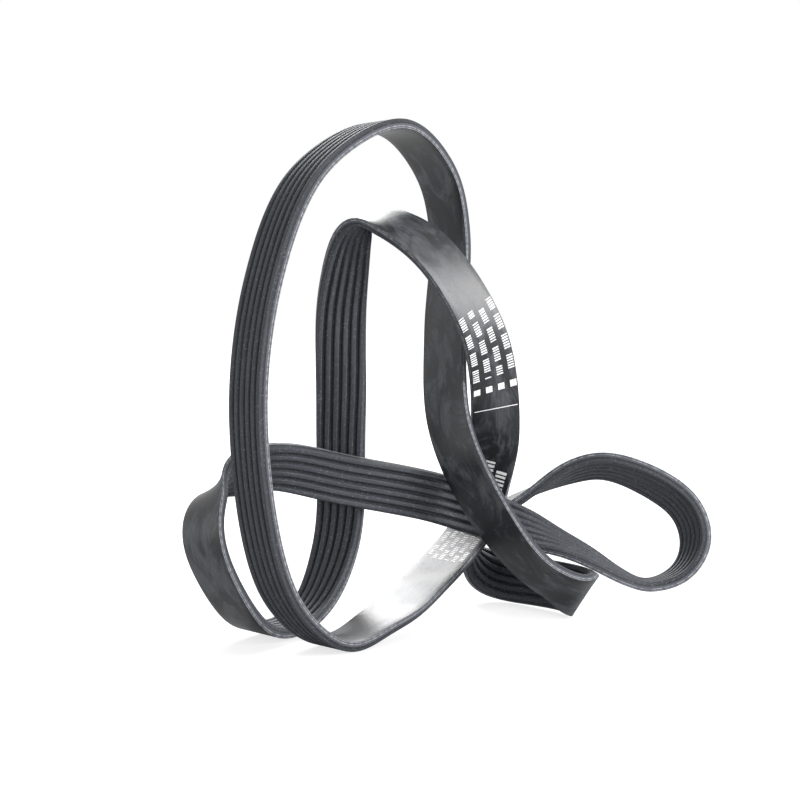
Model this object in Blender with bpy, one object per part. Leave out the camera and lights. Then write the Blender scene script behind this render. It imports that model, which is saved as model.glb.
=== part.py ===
"""Alternator belt: an endless six-rib drive belt of black rubber, lying loose in crossed loops.

The belt is one moulded band. Its section is a smooth back, a thin body that holds the
tension cords, and six V-shaped ribs with flat tips. Here it stands as it does when it is
laid down by hand: one tall loop, a bow at each side, and strands that cross without touching.

Places are in millimetres, with X to the right, Y away from the viewer and Z up. The finished
belt stands on Z = 0, with its origin under the middle of its box.
"""
import bpy
import bmesh
import numpy as np

MM = 0.001

# The belt's section
RIB_COUNT = 6
RIB_PITCH = 3.56            # from groove to groove, the width of one rib
RIB_HEIGHT = 2.1            # from the groove's root to the rib's flat tip
RIB_ANGLE = 40.0            # degrees between the two flanks of a groove
GROOVE_ROOT = 0.30          # width of the groove's floor
BODY_THICKNESS = 2.2        # from the back to the groove's root, with the cords in it
BACK_CHAMFER = 0.25         # the cut corners of the back
CORD_DEPTH = 1.2            # from the back to the cords, whose line keeps its length in a bend

# How the belt lies
SOFTENING = 4.0             # the length over which the stiff body evens out its bends
STATION_COUNT = 256         # sections along the belt
CLOSER_IN_BENDS = 14.0      # a bend of this radius doubles the number of sections

# The lay, in order along the belt: the place of the cord line, then the direction across
# the belt from its left edge to its right edge. Each row is one place where the belt was set.
LAY = (
    # the foot, the tall loop's near side and its crown
    ((-27, 4, 2), (0.62, -0.78, 0.03)),
    ((-48, -8, 24), (0.67, -0.74, 0.03)),
    ((-60, -6, 92), (0.64, -0.76, 0.05)),
    ((-54, 10, 151), (0.66, -0.75, 0.10)),
    ((-37, 30, 191), (0.70, -0.70, 0.15)),
    ((-4, 60, 208), (0.68, -0.72, 0.13)),
    # down the far side, then forward to the right along the floor
    ((15, 78, 188), (0.70, -0.68, 0.15)),
    ((21, 84, 161), (0.70, -0.70, 0.10)),
    ((19, 82, 119), (0.74, -0.66, 0.04)),
    ((21, 68, 81), (0.77, -0.62, 0.10)),
    ((37, 53, 47), (0.66, -0.60, 0.45)),
    ((57, 50, 22), (0.42, -0.72, 0.54)),
    ((73, 53, 12), (0.30, -0.62, 0.72)),
    # the turn at the right, back along the floor and up again
    ((79, 64, 9), (0.50, -0.10, 0.78)),
    ((73, 78, 9), (0.42, 0.30, 0.78)),
    ((60, 91, 9), (0.22, 0.46, 0.82)),
    ((48, 101, 9), (0.05, 0.52, 0.84)),
    ((38, 105, 11), (0.00, 0.62, 0.76)),
    ((31, 106, 17), (0.00, 0.80, 0.55)),
    ((29, 106, 24), (-0.02, 0.94, 0.28)),
    ((36, 106, 34), (-0.05, 0.99, 0.02)),
    # the bow at the right
    ((54, 106, 45), (-0.05, 0.98, -0.15)),
    ((75, 105, 56), (0.06, 0.86, -0.48)),
    ((90, 103, 59), (-0.05, 0.83, -0.55)),
    ((114, 100, 50), (-0.36, 0.79, -0.50)),
    ((126, 97, 40), (-0.43, 0.83, -0.37)),
    ((130, 94, 26), (-0.42, 0.88, -0.21)),
    ((124, 91, 13), (-0.20, 0.97, -0.06)),
    ((109, 88, 7), (-0.05, 0.99, -0.12)),
    ((96, 85, 12), (0.03, 0.99, -0.06)),
    # the long strand across to the left
    ((82, 82, 21), (0.09, 0.99, 0.05)),
    ((67, 79, 29), (0.15, 0.96, 0.20)),
    ((56, 77, 34), (0.17, 0.84, 0.50)),
    ((40, 76, 40), (0.17, 0.60, 0.78)),
    ((18, 71, 49), (0.17, 0.22, 0.95)),
    ((-22, 49, 61), (0.14, -0.10, 0.98)),
    ((-54, 31, 70), (0.17, -0.28, 0.94)),
    # the fold and the bow at the left
    ((-67, 29, 67), (0.42, -0.28, 0.84)),
    ((-77, 24, 61), (0.68, -0.40, 0.60)),
    ((-81, 15, 49), (0.72, -0.60, 0.28)),
    ((-78, 12, 33), (0.75, -0.62, 0.03)),
    ((-60, 18, 4), (0.75, -0.62, -0.05)),
    ((-39, 43, 5), (0.70, -0.65, 0.10)),
    # up the middle, over the top bend and down the right
    ((-27, 59, 32), (0.88, -0.45, 0.05)),
    ((-25, 65, 86), (0.95, -0.20, 0.00)),
    ((-24, 66, 140), (0.92, 0.35, 0.00)),
    ((-16, 63, 170), (0.55, 0.80, 0.12)),
    ((9, 60, 161), (0.62, 0.70, 0.30)),
    ((35, 66, 122), (0.78, 0.54, 0.22)),
    ((41, 84, 76), (0.95, 0.10, 0.10)),
    ((38, 92, 56), (0.90, -0.35, 0.00)),
    # behind the crossing and forward to the foot
    ((34, 91, 38), (0.75, -0.60, -0.10)),
    ((9, 55, 15), (0.60, -0.78, -0.20)),
    ((-9, 22, 7), (0.60, -0.78, -0.08)),
)


def ribbed_section():
    """The section's corners in mm, as (across, out of the cord line), counter-clockwise.

    Positive out is the ribs' side. Each groove has two flanks that meet its floor, and the
    belt is cut down the middle of the groove beyond its first and its last rib.
    """
    back = -CORD_DEPTH
    root = BODY_THICKNESS - CORD_DEPTH
    tip = root + RIB_HEIGHT
    flank = RIB_HEIGHT * np.tan(np.radians(RIB_ANGLE / 2))
    half_root = GROOVE_ROOT / 2
    half_width = RIB_COUNT * RIB_PITCH / 2
    corners = [
        (-half_width, back + BACK_CHAMFER),
        (-half_width + BACK_CHAMFER, back),
        (half_width - BACK_CHAMFER, back),
        (half_width, back + BACK_CHAMFER),
        (half_width, root),
    ]
    for rib in reversed(range(RIB_COUNT)):
        left = -half_width + rib * RIB_PITCH
        right = left + RIB_PITCH
        corners.append((right - half_root - flank, tip))
        corners.append((left + half_root + flank, tip))
        if rib:
            corners.append((left, root))
    corners.append((-half_width, root))
    return np.array(corners)


def smooth_closed(places, values, samples):
    """Values along a closed curve that passes through every place, eased in and out of each.

    It is the spline that blends straight steps between neighbours three times over, with its
    knots set by the square root of the distance between places, so it makes no small loops.
    """
    step = np.sqrt(np.linalg.norm(np.roll(places, -1, axis=0) - places, axis=1))
    rows = []
    count = len(places)
    for i in range(count):
        before, after, beyond = (i - 1) % count, (i + 1) % count, (i + 2) % count
        k0, k1 = 0.0, step[before]
        k2 = k1 + step[i]
        k3 = k2 + step[after]
        k = np.linspace(k1, k2, samples, endpoint=False)[:, None]
        a = ((k1 - k) * values[before] + (k - k0) * values[i]) / (k1 - k0)
        b = ((k2 - k) * values[i] + (k - k1) * values[after]) / (k2 - k1)
        c = ((k3 - k) * values[after] + (k - k2) * values[beyond]) / (k3 - k2)
        ab = ((k2 - k) * a + (k - k0) * b) / (k2 - k0)
        bc = ((k3 - k) * b + (k - k1) * c) / (k3 - k1)
        rows.append(((k2 - k) * ab + (k - k1) * bc) / (k2 - k1))
    return np.vstack(rows)


def lengths_along(line):
    """The distance from the start to each point of a closed line, and back to the start."""
    return np.append(0.0, np.cumsum(np.linalg.norm(np.roll(line, -1, axis=0) - line, axis=1)))


def read_closed(values, known, wanted):
    """Values known at some distances along the closed line, read at the wanted ones."""
    closed = np.vstack([values, values[:1]])
    return np.column_stack([np.interp(wanted, known, column) for column in closed.T])


def evened_out(values, spacing):
    """Values blended with their neighbours along the line, as a stiff body evens its bends."""
    reach = int(3 * SOFTENING / spacing) + 1
    offsets = np.arange(-reach, reach + 1)
    weights = np.exp(-0.5 * (offsets * spacing / SOFTENING) ** 2)
    weights /= weights.sum()
    return sum(w * np.roll(values, k, axis=0) for w, k in zip(weights, offsets))


def unit(vectors):
    return vectors / np.linalg.norm(vectors, axis=1)[:, None]


def belt_stations():
    """Places, directions across and directions out of the ribs, one row for each section."""
    places = np.array([row[0] for row in LAY], dtype=float)
    across = unit(np.array([row[1] for row in LAY], dtype=float))
    line = smooth_closed(places, places, 24)
    lean = smooth_closed(places, across, 24)

    along = lengths_along(line)
    fine = int(along[-1] / 1.5)
    wanted = np.arange(fine) * along[-1] / fine
    line = evened_out(read_closed(line, along, wanted), along[-1] / fine)
    lean = evened_out(read_closed(lean, along, wanted), along[-1] / fine)

    along = lengths_along(line)
    run = unit(np.roll(line, -1, axis=0) - np.roll(line, 1, axis=0))
    spacing = along[-1] / fine
    bend = np.linalg.norm(np.roll(run, -1, axis=0) - np.roll(run, 1, axis=0), axis=1) / (2 * spacing)
    need = np.append(0.0, np.cumsum(spacing * (1 + CLOSER_IN_BENDS * bend)))
    at = np.interp(np.arange(STATION_COUNT) * need[-1] / STATION_COUNT, need, along)
    middle = read_closed(line, along, at)
    run = unit(read_closed(run, along, at))
    lean = read_closed(lean, along, at)
    side = unit(lean - np.sum(lean * run, axis=1)[:, None] * run)
    return middle, side, np.cross(side, run)


def belt_mesh():
    """The section carried along the closed line, joined to itself where it began."""
    section = ribbed_section()
    middle, side, out = belt_stations()
    points = (middle[:, None, :]
              + side[:, None, :] * section[None, :, 0:1]
              + out[:, None, :] * section[None, :, 1:2])
    low, high = points.min(axis=(0, 1)), points.max(axis=(0, 1))
    points -= np.array([(low[0] + high[0]) / 2, (low[1] + high[1]) / 2, low[2]])

    rings, corners = points.shape[:2]
    ring = np.arange(rings)[:, None]
    corner = np.arange(corners)[None, :]
    this, following = ring * corners, (ring + 1) % rings * corners
    beside = (corner + 1) % corners
    faces = np.stack([this + corner, following + corner, following + beside, this + beside], axis=-1)

    mesh = bpy.data.meshes.new("belt")
    mesh.from_pydata((points.reshape(-1, 3) * MM).tolist(), [], faces.reshape(-1, 4).tolist())
    body = bmesh.new()
    body.from_mesh(mesh)
    bmesh.ops.triangulate(body, faces=body.faces, quad_method="SHORT_EDGE")
    bmesh.ops.recalc_face_normals(body, faces=body.faces)
    body.to_mesh(mesh)
    body.free()
    mesh.shade_smooth()
    mesh.set_sharp_from_angle(angle=np.radians(30))
    return mesh


def rubber():
    material = bpy.data.materials.new("Black ribbed rubber")
    material.use_nodes = True
    surface = material.node_tree.nodes["Principled BSDF"]
    surface.inputs["Base Color"].default_value = (0.022, 0.023, 0.025, 1.0)
    surface.inputs["Roughness"].default_value = 0.62
    surface.inputs["Metallic"].default_value = 0.0
    material.diffuse_color = (0.022, 0.023, 0.025, 1.0)
    return material


def main():
    for leftover in list(bpy.data.objects):
        bpy.data.objects.remove(leftover, do_unlink=True)
    belt = bpy.data.objects.new("belt", belt_mesh())
    belt.data.materials.append(rubber())
    bpy.context.scene.collection.objects.link(belt)


main()
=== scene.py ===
"""Looks of an alternator belt.

It is a six-rib drive belt of black rubber, lying loose in crossed loops.
"""

import bpy
import numpy as np
from bpy.props import FloatProperty, IntProperty, PointerProperty, StringProperty
from bpy.types import Operator, Panel, PropertyGroup
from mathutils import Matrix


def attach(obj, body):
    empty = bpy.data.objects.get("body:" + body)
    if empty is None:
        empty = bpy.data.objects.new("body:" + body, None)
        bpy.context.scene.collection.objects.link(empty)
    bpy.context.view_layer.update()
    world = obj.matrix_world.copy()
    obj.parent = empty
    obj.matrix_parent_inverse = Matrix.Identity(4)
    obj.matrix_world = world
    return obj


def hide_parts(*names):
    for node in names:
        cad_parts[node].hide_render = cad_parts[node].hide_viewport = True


bl_info = {
    "name": "Alternator belt",
    "version": (1, 0, 0),
    "blender": (4, 5, 0),
    "location": "View3D > Sidebar > Belt",
    "description": "Makes a loose six-rib drive belt of black rubber and the studio it lies in",
    "category": "Add Mesh",
}

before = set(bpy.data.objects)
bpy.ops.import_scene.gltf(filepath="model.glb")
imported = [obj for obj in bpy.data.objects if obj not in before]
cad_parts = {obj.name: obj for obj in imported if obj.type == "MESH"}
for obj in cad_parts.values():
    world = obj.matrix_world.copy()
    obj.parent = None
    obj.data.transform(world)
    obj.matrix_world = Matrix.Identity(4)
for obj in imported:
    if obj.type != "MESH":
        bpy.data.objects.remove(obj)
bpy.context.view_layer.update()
MM = 0.001

# The lay, in order along the belt, in mm: the place of the cord line, then the direction
# across the belt from its left edge to its right edge. Each row is one place where the belt
# was set. X is to the right, Y away from the camera and Z up.
LAY = (
    # the foot, the tall loop's near side and its crown
    ((-27, 4, 2), (0.62, -0.78, 0.03)),
    ((-48, -8, 24), (0.67, -0.74, 0.03)),
    ((-60, -6, 92), (0.64, -0.76, 0.05)),
    ((-54, 10, 151), (0.66, -0.75, 0.10)),
    ((-37, 30, 191), (0.70, -0.70, 0.15)),
    ((-4, 60, 208), (0.68, -0.72, 0.13)),
    # down the far side, then forward to the right along the floor
    ((15, 78, 188), (0.70, -0.68, 0.15)),
    ((21, 84, 161), (0.70, -0.70, 0.10)),
    ((19, 82, 119), (0.74, -0.66, 0.04)),
    ((21, 68, 81), (0.77, -0.62, 0.10)),
    ((37, 53, 47), (0.66, -0.60, 0.45)),
    ((57, 50, 22), (0.42, -0.72, 0.54)),
    ((73, 53, 12), (0.30, -0.62, 0.72)),
    # the turn at the right, back along the floor and up again
    ((79, 64, 9), (0.50, -0.10, 0.78)),
    ((73, 78, 9), (0.42, 0.30, 0.78)),
    ((60, 91, 9), (0.22, 0.46, 0.82)),
    ((48, 101, 9), (0.05, 0.52, 0.84)),
    ((38, 105, 11), (0.00, 0.62, 0.76)),
    ((31, 106, 17), (0.00, 0.80, 0.55)),
    ((29, 106, 24), (-0.02, 0.94, 0.28)),
    ((36, 106, 34), (-0.05, 0.99, 0.02)),
    # the bow at the right
    ((54, 106, 45), (-0.05, 0.98, -0.15)),
    ((75, 105, 56), (0.06, 0.86, -0.48)),
    ((90, 103, 59), (-0.05, 0.83, -0.55)),
    ((114, 100, 50), (-0.36, 0.79, -0.50)),
    ((126, 97, 40), (-0.43, 0.83, -0.37)),
    ((130, 94, 26), (-0.42, 0.88, -0.21)),
    ((124, 91, 13), (-0.20, 0.97, -0.06)),
    ((109, 88, 7), (-0.05, 0.99, -0.12)),
    ((96, 85, 12), (0.03, 0.99, -0.06)),
    # the long strand across to the left
    ((82, 82, 21), (0.09, 0.99, 0.05)),
    ((67, 79, 29), (0.15, 0.96, 0.20)),
    ((56, 77, 34), (0.17, 0.84, 0.50)),
    ((40, 76, 40), (0.17, 0.60, 0.78)),
    ((18, 71, 49), (0.17, 0.22, 0.95)),
    ((-22, 49, 61), (0.14, -0.10, 0.98)),
    ((-54, 31, 70), (0.17, -0.28, 0.94)),
    # the fold and the bow at the left
    ((-67, 29, 67), (0.42, -0.28, 0.84)),
    ((-77, 24, 61), (0.68, -0.40, 0.60)),
    ((-81, 15, 49), (0.72, -0.60, 0.28)),
    ((-78, 12, 33), (0.75, -0.62, 0.03)),
    ((-60, 18, 4), (0.75, -0.62, -0.05)),
    ((-39, 43, 5), (0.70, -0.65, 0.10)),
    # up the middle, over the top bend and down the right
    ((-27, 59, 32), (0.88, -0.45, 0.05)),
    ((-25, 65, 86), (0.95, -0.20, 0.00)),
    ((-24, 66, 140), (0.92, 0.35, 0.00)),
    ((-16, 63, 170), (0.55, 0.80, 0.12)),
    ((9, 60, 161), (0.62, 0.70, 0.30)),
    ((35, 66, 122), (0.78, 0.54, 0.22)),
    ((41, 84, 76), (0.95, 0.10, 0.10)),
    ((38, 92, 56), (0.90, -0.35, 0.00)),
    # behind the crossing and forward to the foot
    ((34, 91, 38), (0.75, -0.60, -0.10)),
    ((9, 55, 15), (0.60, -0.78, -0.20)),
    ((-9, 22, 7), (0.60, -0.78, -0.08)),
)

# The stretches of faded marks on the back, in mm: start and end along the belt, the number
# of rows, their pitch across the belt, the height of a mark and the beat of the marks
STRETCHES = (
    (1299.0, 1333.0, 4, 5.7, 3.0, 1.1),
    (1374.0, 1392.0, 3, 6.0, 4.6, 1.9),
    (1403.0, 1432.0, 6, 3.2, 2.0, 1.2),
)

# Points of the spline from one row of the lay to the next
SPLINE_POINTS = 24
# Step of the evened-out line, in mm
LINE_STEP = 1.5
# How much longer a stretch counts for each radian that it bends by, in mm
BEND_WEIGHT = 10.0

# The softboxes, in m: name, place, the point each one faces, width and height
SOFTBOXES = (
    ("overhead_softbox", (-0.10, 0.68, 0.60), (0, 0, 0.04), 0.5, 0.6),
    ("right_softbox", (0.98, -0.26, 0.37), (0, 0, 0.12), 0.4, 0.45),
    ("left_softbox", (-1.00, -0.30, 0.22), (0, 0, 0.08), 0.6, 0.4),
    ("front_softbox", (0.50, -1.05, 0.16), (0, 0, 0.06), 0.6, 0.3),
)
# The point that the camera faces, in the lay's own mm, and the width of its sensor in mm
VIEWED = (0.0, 45.0, 95.6)
SENSOR_WIDTH = 36.0
# The share of light that the paper floor sends back
PAPER = 0.9
# Strength at which shiny rubber mirrors the floor, against 1 for white
MIRRORED_FLOOR = 0.3


class BeltSizes(PropertyGroup):
    """The belt's section, and how finely it is drawn"""
    rib_count: IntProperty(name="Ribs", description="Ribs side by side", default=6, min=1)
    rib_pitch: FloatProperty(
        name="Rib pitch", description="From groove to groove, in mm", default=3.56)
    rib_height: FloatProperty(
        name="Rib height", description="From the groove's root to the rib's tip, in mm",
        default=2.1)
    rib_angle: FloatProperty(
        name="Rib angle", description="Between the flanks of a groove, in degrees", default=40.0)
    groove_root: FloatProperty(
        name="Groove root", description="Width of the groove's floor, in mm", default=0.30)
    body_thickness: FloatProperty(
        name="Body", description="From the back to the groove's root, in mm", default=2.2)
    cord_depth: FloatProperty(
        name="Cord depth", description="From the back to the tension cords, in mm", default=1.2)
    back_edge: FloatProperty(
        name="Back edge", description="Radius of the back's two long edges, in mm", default=0.25)
    softening: FloatProperty(
        name="Softening", description="Length over which the body evens its bends, in mm",
        default=4.0)
    stations: IntProperty(
        name="Stations", description="Sections along the whole belt", default=1150, min=256)
    rib_samples: IntProperty(
        name="Rib samples", description="Points over the width of one rib", default=10, min=6)


class BeltColours(PropertyGroup):
    """The belt's colours, as sRGB hex values"""
    rib: StringProperty(name="Rib", description="Rubber on the ribs", default="#2d3037")
    # Painted shade: the near-black colour that falls deep in the grooves
    groove: StringProperty(
        name="Groove", description="Rubber deep in the grooves", default="#101216")
    edge: StringProperty(name="Edge", description="Rubber of the cut edges", default="#474a52")
    back: StringProperty(name="Back", description="Rubber of the smooth back", default="#181a1e")
    chalk: StringProperty(
        name="Chalk", description="Mould dust wiped over the back", default="#4f5258")
    fleck: StringProperty(
        name="Fleck", description="Light fibre ends in the ribs", default="#7b7f88")
    # The cord colour also paints the highlight just under the back's long edge
    cord: StringProperty(name="Cord", description="Cut cords in the edges", default="#b9bbbf")
    ink: StringProperty(name="Ink", description="Faded marks on the back", default="#f4f4f5")


class PrintSizes(PropertyGroup):
    """The marks on the back"""
    thickness: FloatProperty(name="Ink", description="Thickness of the marks, in mm", default=0.04)
    sunk: FloatProperty(
        name="Sunk", description="Depth of the marks in the rubber, in mm", default=0.03)
    block: FloatProperty(name="Block", description="Side of a plain end block, in mm", default=3.0)
    blocks_at: FloatProperty(
        name="Blocks at", description="Middle of the end blocks along the belt, in mm",
        default=1337.4)
    line_at: FloatProperty(
        name="Line at", description="Thin line across the belt, in mm along it", default=1347.6)
    line_width: FloatProperty(
        name="Line width", description="Width of the thin line, in mm", default=0.4)
    line_length: FloatProperty(
        name="Line length", description="Length of the thin line across the belt, in mm",
        default=19.6)


class StudioSizes(PropertyGroup):
    """The camera, the floor and the strength of the lights"""
    distance: FloatProperty(name="Distance", description="Camera to target, in mm", default=1200.0)
    elevation: FloatProperty(
        name="Elevation", description="Camera's rise, in degrees", default=8.0)
    lens: FloatProperty(name="Lens", description="Focal length on a 36 mm sensor", default=129.6)
    floor: FloatProperty(
        name="Floor", description="Side of the floor, in m", default=8.0, unit="LENGTH")
    glow: FloatProperty(
        name="Floor's share", description="Share of the floor that shows plain white", default=0.50)
    world: FloatProperty(
        name="Room light", description="Strength of the white room", default=0.60)
    key: FloatProperty(
        name="Key", description="Power of the overhead softbox, in W", default=10.0)
    right: FloatProperty(
        name="Right", description="Power of the softbox at the right, in W", default=10.0)
    left: FloatProperty(
        name="Left", description="Power of the softbox at the left, in W", default=0.8)
    front: FloatProperty(
        name="Front", description="Power of the softbox before the belt, in W", default=5.0)


def linear(colour):
    """An sRGB hex colour as linear red, green, blue and alpha.

    Each channel c becomes c / 12.92 where it is dark, and ((c + 0.055) / 1.055) to the
    power 2.4 elsewhere.
    """
    c = np.array([int(colour[i:i + 2], 16) for i in (1, 3, 5)]) / 255
    c = np.where(c <= 0.04045, c / 12.92, ((c + 0.055) / 1.055) ** 2.4)
    return (*c.tolist(), 1.0)


def unit(vectors):
    """Each row divided by its own length."""
    return vectors / np.linalg.norm(vectors, axis=-1, keepdims=True)


def smooth_closed(places, values, samples):
    """Values along a closed curve through every place.

    Between two places the value is the spline that blends straight steps three times over,
    with knots spaced by the square root of the distance between places.
    """
    step = np.sqrt(np.linalg.norm(np.roll(places, -1, axis=0) - places, axis=1))[:, None, None]
    before, beyond = np.roll(step, 1, axis=0), np.roll(step, -1, axis=0)
    p0, p1, p2, p3 = (np.roll(values, k, axis=0)[:, None, :] for k in (1, 0, -1, -2))
    k1, k2, k3 = before, before + step, before + step + beyond
    k = k1 + step * np.linspace(0, 1, samples, endpoint=False)[None, :, None]
    a = ((k1 - k) * p0 + k * p1) / k1
    b = ((k2 - k) * p1 + (k - k1) * p2) / (k2 - k1)
    c = ((k3 - k) * p2 + (k - k2) * p3) / (k3 - k2)
    ab = ((k2 - k) * a + k * b) / k2
    bc = ((k3 - k) * b + (k - k1) * c) / (k3 - k1)
    return (((k2 - k) * ab + (k - k1) * bc) / (k2 - k1)).reshape(-1, values.shape[1])


def lengths_along(line):
    """The running sum of the steps between points of a closed line, ending at its full length."""
    return np.append(0.0, np.cumsum(np.linalg.norm(np.roll(line, -1, axis=0) - line, axis=1)))


def read_closed(values, known, wanted):
    """Values known at some distances along the closed line, read in straight steps at others."""
    closed = np.vstack([values, values[:1]])
    return np.column_stack([np.interp(wanted, known, column) for column in closed.T])


def evened_out(values, spacing, softening):
    """Each value averaged with its neighbours, weighted by the bell curve of their distance."""
    reach = int(3 * softening / spacing) + 1
    offsets = np.arange(-reach, reach + 1)
    weights = np.exp(-0.5 * (offsets * spacing / softening) ** 2)
    weights /= weights.sum()
    turns = (np.arange(len(values))[None, :] - offsets[:, None]) % len(values)
    return np.tensordot(weights, values[turns], axes=1)


def belt_line(sizes):
    """The cord line as four arrays: distance along, place, direction across, direction out.

    The line and the lean are splines through the lay, evened out. Across is the lean with
    its share along the line taken away, and out is across times the run of the line.
    """
    places = np.array([row[0] for row in LAY], dtype=float)
    across = unit(np.array([row[1] for row in LAY], dtype=float))
    line = smooth_closed(places, places, SPLINE_POINTS)
    lean = smooth_closed(places, across, SPLINE_POINTS)
    along = lengths_along(line)
    fine = int(along[-1] / LINE_STEP)
    wanted = np.arange(fine) * along[-1] / fine
    line = evened_out(read_closed(line, along, wanted), along[-1] / fine, sizes.softening)
    lean = evened_out(read_closed(lean, along, wanted), along[-1] / fine, sizes.softening)
    run = unit(np.roll(line, -1, axis=0) - np.roll(line, 1, axis=0))
    side = unit(lean - np.sum(lean * run, axis=1)[:, None] * run)
    return lengths_along(line), line, side, np.cross(side, run)


def read_line(track, wanted):
    """Place, across and out of the belt's line at the wanted distances along it."""
    along, line, side, out = track
    return (read_closed(line, along, wanted), unit(read_closed(side, along, wanted)),
            unit(read_closed(out, along, wanted)))


def rib_rise(across, sizes):
    """Rise of the ribbed face above the groove's root, at places across the belt.

    In each pitch the rise is a ramp from 0 at the groove's floor to the rib's height at the
    tip, with both ends of the ramp rounded by the soft step r ln(1 + e^(t / r)).
    """
    flank = sizes.rib_height * np.tan(np.radians(sizes.rib_angle / 2))
    from_groove = np.abs((across / sizes.rib_pitch + 0.5) % 1 - 0.5) * sizes.rib_pitch
    t = (from_groove - sizes.groove_root / 2) / flank
    rounding = 0.05
    soft = rounding * (np.logaddexp(0, t / rounding) - np.logaddexp(0, (t - 1) / rounding))
    return sizes.rib_height * soft


def belt_section(sizes):
    """The rounded section in mm as (across, out of the cord line), going round once.

    It runs up the right edge from the back, over the ribs to the left, down the left edge,
    and along the back. The back's long edges are quarter circles.
    """
    corner_points, edge_points, back_points = 4, 4, 6
    half = sizes.rib_count * sizes.rib_pitch / 2
    back, root = -sizes.cord_depth, sizes.body_thickness - sizes.cord_depth
    r = sizes.back_edge
    turn = np.linspace(0, np.pi / 2, corner_points)
    corner = np.column_stack([half - r + r * np.sin(turn), back + r - r * np.cos(turn)])
    rise = np.linspace(back + r, root, edge_points + 2)[1:-1]
    edge = np.column_stack([np.full(len(rise), half), rise])
    count = sizes.rib_count * sizes.rib_samples
    top = half - np.arange(count + 1) * (2 * half / count)
    # The points crowd a quarter pitch from the groove, where a flank meets the rib's tip
    crowding = 0.16
    shift = crowding * np.sin(4 * np.pi * (top + half) / sizes.rib_pitch) * sizes.rib_pitch / 4
    top = top + np.where(np.abs(top) < half, shift, 0.0)
    lift = root + rib_rise(top + half, sizes)
    lift[[0, -1]] = root
    ribs = np.column_stack([top, lift])
    mirror = np.array([-1.0, 1.0])
    left = np.vstack([edge[::-1] * mirror, corner[::-1] * mirror])
    flat = np.column_stack([np.linspace(r - half, half - r, back_points + 2)[1:-1],
                            np.full(back_points, back)])
    return np.vstack([corner, edge, ribs, left, flat])


def swept(track, wanted, section):
    """The section carried along the belt's line, as rings of points in mm.

    A point is the place on the line, plus across times its first coordinate, plus out times
    its second.
    """
    middle, side, out = read_line(track, wanted)
    return (middle[:, None, :] + side[:, None, :] * section[None, :, 0:1]
            + out[:, None, :] * section[None, :, 1:2])


def belt_offset(sizes):
    """How far the lay's origin lies from the finished belt's, in mm: its box's centre and foot."""
    track = belt_line(sizes)
    points = swept(track, track[0][:-1], belt_section(sizes))
    low, high = points.min(axis=(0, 1)), points.max(axis=(0, 1))
    return np.array([(low[0] + high[0]) / 2, (low[1] + high[1]) / 2, low[2]])


def new_object(name, points, faces):
    """A smooth-shaded object at the origin, from points in mm and faces as rows of indices."""
    mesh = bpy.data.meshes.new(name)
    mesh.from_pydata((points.reshape(-1, 3) * MM).tolist(), [], faces.reshape(-1, 4).tolist())
    mesh.update()
    mesh.shade_smooth()
    piece = bpy.data.objects.new(name, mesh)
    bpy.context.scene.collection.objects.link(piece)
    return piece


def add_node(tree, kind, settings=None, **links):
    """Adds a node, sets its own settings, and gives each named input a value, a socket or a
    node, of which the first output in use is taken. An input _2 is the one at place 2."""
    node = tree.nodes.new(kind)
    for key, value in (settings or {}).items():
        setattr(node, key, value)
    for key, value in links.items():
        socket = node.inputs[int(key[1:]) if key[1:].isdigit() else key.replace("_", " ")]
        if isinstance(value, bpy.types.Node):
            value = next(output for output in value.outputs if output.enabled)
        if isinstance(value, bpy.types.NodeSocket):
            tree.links.new(value, socket)
        else:
            socket.default_value = value
    return node


def empty_material(name):
    """A new material, and its node tree with nothing in it."""
    material = bpy.data.materials.new(name)
    material.use_nodes = True
    material.node_tree.nodes.clear()
    return material, material.node_tree


# Settings that several nodes share
SMOOTH = {"interpolation_type": "SMOOTHSTEP"}
TIMES = {"operation": "MULTIPLY"}
LARGER = {"operation": "MAXIMUM"}
COLOUR = {"data_type": "RGBA"}


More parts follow.
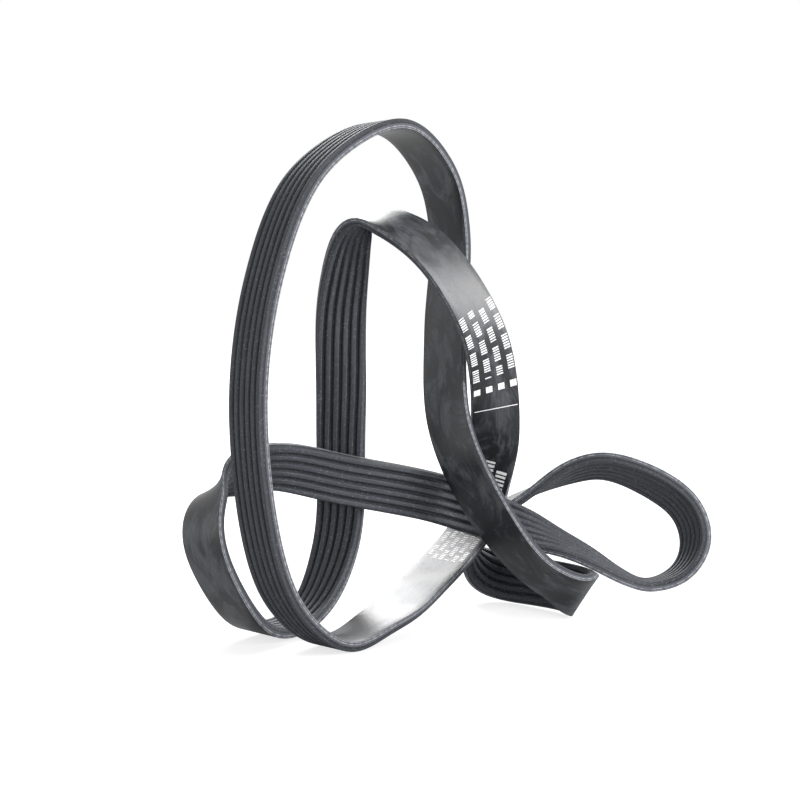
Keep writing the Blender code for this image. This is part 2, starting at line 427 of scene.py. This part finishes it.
def ground_rubber(colours, sizes):
    """EPDM rubber ground to ribs, and cut at the edges.

    Grinding leaves it matt: grey at the ribs' tips with pale fibre ends, and the grooves are
    painted near black as shade. The cut edges show the tension cords as a fine broken line,
    with a painted highlight just under the back's long edge.
    """
    material, tree = empty_material("Ground EPDM rubber")
    depth = add_node(tree, "ShaderNodeAttribute", {"attribute_name": "depth"}).outputs["Fac"]
    lay = add_node(tree, "ShaderNodeUVMap", {"uv_map": "Lay"})
    place = add_node(tree, "ShaderNodeTexCoord").outputs["Object"]
    root, cord = sizes.body_thickness, sizes.cord_depth

    # Painted shade: black in the groove's lowest millimetre and grey above, darker the deeper in
    # the groove
    out_of_groove_shade = add_node(tree, "ShaderNodeMapRange", SMOOTH, Value=depth,
                   From_Min=root + 0.2, From_Max=root + 1.2)
    ribs = add_node(tree, "ShaderNodeMix", COLOUR, _0=out_of_groove_shade,
                    _6=linear(colours.groove), _7=linear(colours.rib))
    # Scuffs drawn out along the ribs, 30 mm long and 1 mm wide
    moved = add_node(tree, "ShaderNodeMapping", Vector=lay, Scale=(900, 34, 1))
    scuff = add_node(tree, "ShaderNodeTexNoise", Vector=moved, Scale=1.0, Detail=3.0, Roughness=0.6)
    scuffed = add_node(tree, "ShaderNodeMapRange", SMOOTH, Value=scuff,
                       From_Min=0.40, From_Max=0.70)
    share = add_node(tree, "ShaderNodeMath", TIMES, _0=scuffed, _1=out_of_groove_shade)
    share = add_node(tree, "ShaderNodeMath", TIMES, _0=share, _1=0.40)
    ribs = add_node(tree, "ShaderNodeMix", COLOUR, _0=share, _6=ribs, _7=linear(colours.chalk))
    # Fibre ends about 0.2 mm wide, drawn at 0.8 mm so that they show
    moved = add_node(tree, "ShaderNodeMapping", Vector=place, Scale=(1250, 1250, 1250))
    fibre = add_node(tree, "ShaderNodeTexNoise", Vector=moved, Scale=1.0, Detail=2.0)
    fleck = add_node(tree, "ShaderNodeMapRange", SMOOTH, Value=fibre, From_Min=0.56, From_Max=0.72)
    fleck = add_node(tree, "ShaderNodeMath", TIMES, _0=fleck, _1=0.40)
    ribs = add_node(tree, "ShaderNodeMix", COLOUR, _0=fleck, _6=ribs, _7=linear(colours.fleck))

    # The cord line of the cut edges, 0.3 mm wide, broken where a cord lies deeper
    above = add_node(tree, "ShaderNodeMapRange", SMOOTH, Value=depth,
                     From_Min=cord - 0.26, From_Max=cord - 0.14)
    below = add_node(tree, "ShaderNodeMapRange", SMOOTH, Value=depth,
                     From_Min=cord + 0.20, From_Max=cord + 0.08)
    line = add_node(tree, "ShaderNodeMath", TIMES, _0=above, _1=below)
    # A painted highlight just under the back's long edge, in the cord colour, standing in for light
    # caught by the rounded corner
    painted_corner_highlight = add_node(tree, "ShaderNodeMapRange", SMOOTH, Value=depth, From_Min=0.60, From_Max=0.30)
    line = add_node(tree, "ShaderNodeMath", LARGER, _0=line, _1=painted_corner_highlight)
    moved = add_node(tree, "ShaderNodeMapping", Vector=lay, Scale=(10, 520, 1))
    gaps = add_node(tree, "ShaderNodeTexNoise", Vector=moved, Scale=1.0, Detail=2.0)
    broken = add_node(tree, "ShaderNodeMapRange", SMOOTH, Value=gaps, From_Min=0.40, From_Max=0.60,
                      To_Min=0.15, To_Max=0.70)
    line = add_node(tree, "ShaderNodeMath", TIMES, _0=line, _1=broken)
    edge = add_node(tree, "ShaderNodeMix", COLOUR, _0=line,
                    _6=linear(colours.edge), _7=linear(colours.cord))
    on_ribs = add_node(tree, "ShaderNodeMapRange", SMOOTH, Value=depth,
                       From_Min=root, From_Max=root + 0.1)
    surface = add_node(tree, "ShaderNodeMix", COLOUR, _0=on_ribs, _6=edge, _7=ribs)

    # The grinding grain, 0.4 mm coarse and 0.08 mm deep
    moved = add_node(tree, "ShaderNodeMapping", Vector=place, Scale=(2600, 2600, 2600))
    grain = add_node(tree, "ShaderNodeTexNoise", Vector=moved, Scale=1.0, Detail=3.0, Roughness=0.6)
    bump = add_node(tree, "ShaderNodeBump", Strength=0.25, Distance=0.00008, Height=grain)
    skin = add_node(tree, "ShaderNodeBsdfPrincipled", Base_Color=surface, Roughness=0.68,
                    IOR=1.52, Normal=bump)
    add_node(tree, "ShaderNodeOutputMaterial", Surface=skin)
    return material


def cured_rubber(colours):
    """The back: an EPDM skin cured against a smooth sleeve.

    It is darker and glossier than the ribs, with a soft sheen towards the light, fine
    ripples across it from the sleeve, and pale mould dust that was wiped along it.
    """
    material, tree = empty_material("Smooth cured EPDM rubber")
    lay = add_node(tree, "ShaderNodeUVMap", {"uv_map": "Lay"})
    place = add_node(tree, "ShaderNodeTexCoord").outputs["Object"]

    # Wiped patches about 24 mm long and 11 mm wide, torn at their rims by a finer pattern
    moved = add_node(tree, "ShaderNodeMapping", Vector=lay, Scale=(90, 42, 1))
    cloud = add_node(tree, "ShaderNodeTexNoise", Vector=moved, Scale=1.0, Detail=5.0,
                     Roughness=0.68, Distortion=0.7)
    patch = add_node(tree, "ShaderNodeMapRange", SMOOTH, Value=cloud, From_Min=0.45, From_Max=0.61)
    moved = add_node(tree, "ShaderNodeMapping", Vector=lay, Scale=(600, 110, 1))
    wipe = add_node(tree, "ShaderNodeTexNoise", Vector=moved, Scale=1.0, Detail=4.0, Roughness=0.65)
    streak = add_node(tree, "ShaderNodeMapRange", SMOOTH, Value=wipe, From_Min=0.30, From_Max=0.72,
                      To_Min=0.35, To_Max=1.0)
    dust = add_node(tree, "ShaderNodeMath", TIMES, _0=patch, _1=streak)
    surface = add_node(tree, "ShaderNodeMix", COLOUR, _0=dust,
                       _6=linear(colours.back), _7=linear(colours.chalk))
    rough = add_node(tree, "ShaderNodeMapRange", Value=patch, To_Min=0.36, To_Max=0.42)

    # Ripples 0.7 mm apart that the sleeve's weave leaves
    ripple = add_node(tree, "ShaderNodeTexWave", {"wave_type": "BANDS", "bands_direction": "Y"},
                      Vector=lay, Scale=440.0, Distortion=1.5, Detail=2.0)
    moved = add_node(tree, "ShaderNodeMapping", Vector=place, Scale=(1300, 1300, 1300))
    grain = add_node(tree, "ShaderNodeTexNoise", Vector=moved, Scale=1.0, Detail=3.0, Roughness=0.6)
    height = add_node(tree, "ShaderNodeMix", _0=0.7, _2=ripple.outputs["Fac"], _3=grain)
    bump = add_node(tree, "ShaderNodeBump", Strength=0.35, Distance=0.00012, Height=height)
    skin = add_node(tree, "ShaderNodeBsdfPrincipled", Base_Color=surface, Roughness=rough,
                    IOR=1.52, Normal=bump)
    # Wax that has bloomed out of the rubber makes it reflect more than bare rubber does
    skin.inputs["Specular IOR Level"].default_value = 0.55
    add_node(tree, "ShaderNodeOutputMaterial", Surface=skin)
    return material


def faded_ink(colours):
    """Pad-printed ink, thin and worn, so that the rubber shows through it in places."""
    material, tree = empty_material("Worn pad-printed ink")
    place = add_node(tree, "ShaderNodeTexCoord").outputs["Object"]
    # Worn spots about 0.7 mm wide
    moved = add_node(tree, "ShaderNodeMapping", Vector=place, Scale=(1500, 1500, 1500))
    worn = add_node(tree, "ShaderNodeTexNoise", Vector=moved, Scale=1.0, Detail=3.0)
    share = add_node(tree, "ShaderNodeMapRange", Value=worn, From_Min=0.25, From_Max=0.42)
    mix = add_node(tree, "ShaderNodeMix", COLOUR, _0=share,
                   _6=linear(colours.chalk), _7=linear(colours.ink))
    skin = add_node(tree, "ShaderNodeBsdfPrincipled", Base_Color=mix, Roughness=0.5)
    add_node(tree, "ShaderNodeOutputMaterial", Surface=skin)
    return material


class BELT_OT_body(Operator):
    """The rubber band itself, with its ribs, its smooth back and its cut edges"""
    bl_idname = "belt.body"
    bl_label = "Belt"

    def execute(self, context):
        sizes = context.scene.belt_sizes
        track = belt_line(sizes)
        # The sections stand closer together where the belt bends
        run = unit(np.roll(track[1], -1, axis=0) - np.roll(track[1], 1, axis=0))
        turn = np.linalg.norm(np.diff(run, axis=0, append=run[:1]), axis=1)
        need = np.append(0.0, np.cumsum(LINE_STEP + BEND_WEIGHT * turn))
        wanted = np.interp(np.arange(sizes.stations) * need[-1] / sizes.stations, need, track[0])
        section = belt_section(sizes)
        points = swept(track, wanted, section) - belt_offset(sizes)

        rings, corners = points.shape[:2]
        ring, corner = np.arange(rings)[:, None], np.arange(corners)[None, :]
        this, following = ring * corners, (ring + 1) % rings * corners
        beside = (corner + 1) % corners
        faces = np.stack([this + corner, following + corner, following + beside, this + beside],
                         axis=-1)
        piece = new_object("belt_rubber", points, faces)

        girth = lengths_along(section)
        along = np.append(wanted, track[0][-1])[:, None]
        u = np.broadcast_to(np.stack([girth[:-1], girth[:-1], girth[1:], girth[1:]], axis=-1),
                            (rings, corners, 4))
        v = np.broadcast_to(np.stack([along[:-1], along[1:], along[1:], along[:-1]], axis=-1),
                            (rings, corners, 4))
        lay = piece.data.uv_layers.new(name="Lay")
        lay.data.foreach_set("uv", (np.stack([u, v], axis=-1) * MM).ravel())
        depth = piece.data.attributes.new("depth", "FLOAT", "POINT")
        depth.data.foreach_set("value", np.tile(section[:, 1] + sizes.cord_depth, rings))
        piece.data.materials.append(cured_rubber(context.scene.belt_colours))
        piece.data.materials.append(ground_rubber(context.scene.belt_colours, sizes))
        # The faces from the top of one rounded back edge to the other, over the ribs, are ground
        rounding_error = 0.001
        off_back = section[:, 1] + sizes.cord_depth > sizes.back_edge - rounding_error
        ground = off_back & np.roll(off_back, -1)
        piece.data.polygons.foreach_set("material_index", np.tile(ground, rings).astype(np.int32))
        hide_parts("belt")
        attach(piece, "root")
        return {"FINISHED"}


def marks_of_row(start, end, middle, row, height, beat):
    """Strokes of one row as (middle along, half length, middle across, half height), in mm.

    One plain stroke stands on each beat, and two beats in eight are left bare. Its thickness
    follows the fractions of the golden ratio, so that no two rows repeat each other.
    """
    golden, row_shift, thinnest, spread = 0.618, 0.37, 0.20, 0.15
    beats = np.arange(int((end - start) / beat))
    beats = beats[(beats + 3 * row) % 8 < 6]
    chance = (beats * golden + row * row_shift) % 1
    ones = np.ones(len(beats))
    return np.column_stack([start + (beats + 0.5) * beat, beat * (thinnest + spread * chance),
                            middle * ones, height / 2 * ones])


class BELT_OT_marks(Operator):
    """Faded rows of plain strokes, small plain blocks and a thin line on the back"""
    bl_idname = "belt.marks"
    bl_label = "Marks on the back"

    def execute(self, context):
        sizes, print_sizes = context.scene.belt_sizes, context.scene.belt_print
        marks = [marks_of_row(start, end, (row - (rows - 1) / 2) * pitch, row, height, beat)
                 for start, end, rows, pitch, height, beat in STRETCHES for row in range(rows)]
        rows, pitch = STRETCHES[0][2:4]
        half = print_sizes.block / 2
        marks += [[(print_sizes.blocks_at, half, (row - (rows - 1) / 2) * pitch, half)]
                  for row in range(rows)]
        marks.append([(print_sizes.line_at, print_sizes.line_width / 2,
                       0.0, print_sizes.line_length / 2)])
        marks = np.vstack(marks)

        # Each mark is a thin bar of five sections with four corners, bent with the belt
        rings, corners = 5, 4
        steps = np.linspace(-1, 1, rings)
        wanted = marks[:, 0:1] + marks[:, 1:2] * steps[None, :]
        middle, side, out = (part.reshape(len(marks), rings, 1, 3)
                             for part in read_line(belt_line(sizes), wanted.ravel()))
        across = marks[:, 2:3] + marks[:, 3:4] * np.array([[-1, 1, 1, -1]])
        sunk = -sizes.cord_depth + print_sizes.sunk
        proud = -sizes.cord_depth - print_sizes.thickness
        height = np.array([sunk, sunk, proud, proud])
        points = (middle + side * across[:, None, :, None] + out * height[None, None, :, None]
                  - belt_offset(sizes))

        first = (np.arange(len(marks)) * rings * corners)[:, None, None]
        ring, corner = (np.arange(rings - 1) * corners)[None, :, None], np.arange(corners)
        this, beside = first + ring + corner, first + ring + (corner + 1) % corners
        walls = np.stack([this, beside, beside + corners, this + corners], axis=-1).reshape(-1, 4)
        last = corner + (rings - 1) * corners
        ends = np.stack([first[:, 0] + corner[::-1], first[:, 0] + last])
        piece = new_object("belt_marks", points, np.vstack([walls, ends.reshape(-1, 4)]))
        piece.data.shade_flat()
        piece.data.materials.append(faded_ink(context.scene.belt_colours))
        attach(piece, "root")
        return {"FINISHED"}


class BELT_OT_studio(Operator):
    """The white floor and room, four softboxes and the camera"""
    bl_idname = "belt.studio"
    bl_label = "Studio"

    def plain_view(self, tree, direct, mirrored):
        """One strength on the camera's rays, another on rays off or through shiny faces, else 0."""
        path = add_node(tree, "ShaderNodeLightPath")
        shiny = add_node(tree, "ShaderNodeMath", LARGER, _0=path.outputs["Is Glossy Ray"],
                         _1=path.outputs["Is Transmission Ray"])
        shiny = add_node(tree, "ShaderNodeMath", TIMES, _0=shiny, _1=mirrored)
        seen = add_node(tree, "ShaderNodeMath", TIMES, _0=path.outputs["Is Camera Ray"], _1=direct)
        return add_node(tree, "ShaderNodeMath", LARGER, _0=seen, _1=shiny)

    def softbox(self, context, name, place, target, width, height, power):
        """An area lamp at a place, turned so that its own -Z axis points at the target."""
        lamp = bpy.data.lights.new(name, "AREA")
        lamp.shape, lamp.size, lamp.size_y, lamp.energy = "RECTANGLE", width, height, power
        holder = bpy.data.objects.new(name, lamp)
        way = np.array(target) - np.array(place)
        holder.location = place
        holder.rotation_euler = self.aim(way)
        context.scene.collection.objects.link(holder)

    def aim(self, way):
        """The turns that point -Z along a direction: its fall from the vertical, its heading."""
        flat = np.hypot(way[0], way[1])
        return (float(np.arctan2(flat, -way[2])), 0.0, float(np.arctan2(-way[0], way[1])))

    def execute(self, context):
        scene, studio = context.scene, context.scene.belt_studio
        side = studio.floor / 2
        floor = new_object("studio_floor", np.array(
            [[-side, -side, 0], [side, -side, 0], [side, side, 0], [-side, side, 0]]) / MM,
            np.array([[0, 1, 2, 3]]))
        material, tree = empty_material("White seamless paper")
        paper = add_node(tree, "ShaderNodeBsdfDiffuse", Color=linear("#f4f4f4"))
        # Just bright enough that open floor, which the room alone lights, shows as white
        white = (1 - (1 - studio.glow) * PAPER * studio.world) / studio.glow
        glow = add_node(tree, "ShaderNodeEmission",
                        Strength=self.plain_view(tree, white, MIRRORED_FLOOR))
        mix = add_node(tree, "ShaderNodeMixShader", Fac=studio.glow, _1=paper, _2=glow)
        add_node(tree, "ShaderNodeOutputMaterial", Surface=mix)
        floor.data.materials.append(material)

        world = bpy.data.worlds.new("White room")
        world.use_nodes = True
        tree = world.node_tree
        tree.nodes.clear()
        level = add_node(tree, "ShaderNodeMath", LARGER, _0=self.plain_view(tree, 1.0, 1.0),
                         _1=studio.world)
        room = add_node(tree, "ShaderNodeBackground", Color=linear("#ffffff"), Strength=level)
        add_node(tree, "ShaderNodeOutputWorld", Surface=room)
        scene.world = world

        powers = (studio.key, studio.right, studio.left, studio.front)
        for box, power in zip(SOFTBOXES, powers):
            self.softbox(context, *box, power)

        offset = belt_offset(scene.belt_sizes)
        target = np.array(VIEWED)
        lift = np.radians(studio.elevation)
        place = target + studio.distance * np.array([0.0, -np.cos(lift), np.sin(lift)])
        lens = bpy.data.cameras.new("studio_camera")
        lens.lens, lens.sensor_width = studio.lens, SENSOR_WIDTH
        camera = bpy.data.objects.new("studio_camera", lens)
        camera.location = ((place - offset) * MM).tolist()
        camera.rotation_euler = self.aim(target - place)
        scene.collection.objects.link(camera)
        scene.camera = camera
        scene.view_settings.view_transform = "Standard"
        return {"FINISHED"}


class BELT_PT_panel(Panel):
    """Sizes and colours of the belt, and a button for each piece"""
    bl_label = "Alternator belt"
    bl_idname = "BELT_PT_panel"
    bl_space_type = "VIEW_3D"
    bl_region_type = "UI"
    bl_category = "Belt"

    def draw(self, context):
        scene = context.scene
        for group in (scene.belt_sizes, scene.belt_print, scene.belt_colours, scene.belt_studio):
            box = self.layout.box()
            for name in group.bl_rna.properties.keys():
                if name not in {"rna_type", "name"}:
                    box.prop(group, name)
        for maker in MAKERS:
            self.layout.operator(maker.bl_idname)


GROUPS = {"belt_sizes": BeltSizes, "belt_print": PrintSizes, "belt_colours": BeltColours,
          "belt_studio": StudioSizes}
MAKERS = (BELT_OT_body, BELT_OT_marks, BELT_OT_studio)


def register():
    """Adds the belt's settings, operators and panel to Blender."""
    for name, group in GROUPS.items():
        bpy.utils.register_class(group)
        setattr(bpy.types.Scene, name, PointerProperty(type=group))
    for maker in MAKERS:
        bpy.utils.register_class(maker)
    bpy.utils.register_class(BELT_PT_panel)


def unregister():
    """Takes them out again, in the opposite order."""
    bpy.utils.unregister_class(BELT_PT_panel)
    for maker in reversed(MAKERS):
        bpy.utils.unregister_class(maker)
    for name, group in GROUPS.items():
        delattr(bpy.types.Scene, name)
        bpy.utils.unregister_class(group)


def main():
    """Makes every piece and the studio."""
    register()
    bpy.ops.belt.body()
    bpy.ops.belt.marks()
    bpy.ops.belt.studio()


if __name__ == "__main__":
    main()
